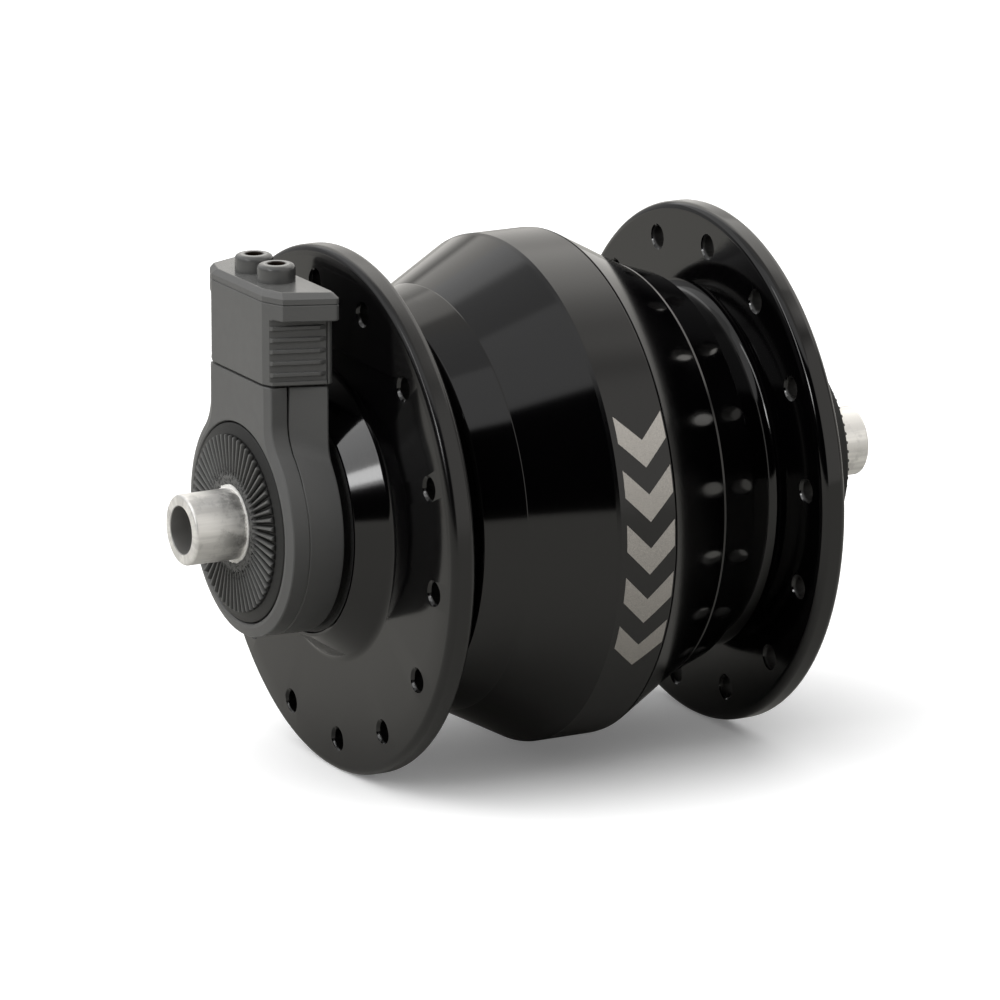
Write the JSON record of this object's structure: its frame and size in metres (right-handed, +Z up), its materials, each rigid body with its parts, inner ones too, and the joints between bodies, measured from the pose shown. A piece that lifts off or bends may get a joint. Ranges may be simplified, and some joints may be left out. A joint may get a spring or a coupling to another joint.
{
  "type": "dynamo hub",
  "caption": "Bicycle front dynamo hub: drilled spoke flanges on a split drum, hollow axle with serrated locknuts, and a two-wire connector with a pull-off plug.",
  "frame": {"origin": "on the axle's axis, midway between the outer faces of the two locknuts", "axes": "+Y along the axle from the connector's end to the plain end, +Z up through the connector's plug, +X to the right as the connector's end is faced"},
  "size_m": [0.0666, 0.096, 0.0666],
  "materials": {
    "hub_anodised": "gloss black anodised",
    "axle_alloy": "bare, turned",
    "nut_black": "black anodised, serrated",
    "housing_plastic": "fine matte, dark grey",
    "plug_plastic": "fine matte, dark grey",
    "seal_rubber": "matte black",
    "contact_brass": "bright",
    "wire_insulation": "smooth",
    "core_steel": "raw steel",
    "nut_steel": "zinc plated",
    "bearing_steel": "polished",
    "cage_brass": "satin",
    "magnet": "sintered, nickel plated",
    "bobbin_nylon": "moulded nylon",
    "winding_copper": "enamelled copper wire"
  },
  "bodies": {
    "axle_assembly": {"axle": "axle_alloy", "left_locknut": "nut_black", "right_locknut": "nut_black", "connector_front": "housing_plastic", "connector_back": "housing_plastic", "contact_pins": "contact_brass", "lead_wires": "wire_insulation", "stator_sleeve": "core_steel", "left_claw_plate": "core_steel", "right_claw_plate": "core_steel", "coil_bobbin": "bobbin_nylon", "coil_winding": "winding_copper", "left_stator_nut": "nut_steel", "right_stator_nut": "nut_steel", "left_inner_spacer": "nut_steel", "right_inner_spacer": "nut_steel", "left_outer_spacer": "nut_steel", "right_outer_spacer": "nut_black", "left_bearing_inner_ring": "bearing_steel", "right_bearing_inner_ring": "bearing_steel"},
    "hub_body": {"left_hub_shell": "hub_anodised", "right_hub_shell": "hub_anodised", "flux_ring": "core_steel", "magnet_ring": "magnet", "shell_o_ring": "seal_rubber", "left_bearing_outer_ring": "bearing_steel", "right_bearing_outer_ring": "bearing_steel", "left_bearing_shields": "seal_rubber", "right_bearing_shields": "seal_rubber", "left_dust_seal": "seal_rubber", "right_dust_cap": "nut_black"},
    "left_ball_set": {"left_balls": "bearing_steel", "left_ball_cage": "cage_brass"},
    "right_ball_set": {"right_balls": "bearing_steel", "right_ball_cage": "cage_brass"},
    "plug": {"plug_body": "plug_plastic", "plug_terminals": "contact_brass"},
    "cap": {"plug_cap": "plug_plastic"}
  },
  "joints": [
    {"name": "hub_spin", "type": "hinge", "parent": "axle_assembly", "child": "hub_body", "pos_m": [0, 0, 0], "axis": [0, 1, 0], "continuous": true},
    {"name": "left_ball_roll", "type": "hinge", "parent": "axle_assembly", "child": "left_ball_set", "pos_m": [0, 0, 0], "axis": [0, 1, 0], "continuous": true},
    {"name": "right_ball_roll", "type": "hinge", "parent": "axle_assembly", "child": "right_ball_set", "pos_m": [0, 0, 0], "axis": [0, 1, 0], "continuous": true},
    {"name": "plug_pull", "type": "slide", "parent": "axle_assembly", "child": "plug", "axis": [0, 0, 1], "range_m": [0, 0.008]},
    {"name": "cap_pull", "type": "slide", "parent": "plug", "child": "cap", "axis": [0, 0, 1], "range_m": [0, 0.005]}
  ],
  "couplings": [
    {"joint": "left_ball_roll", "follows": "hub_spin", "ratio": 0.615},
    {"joint": "right_ball_roll", "follows": "hub_spin", "ratio": 0.615}
  ]
}
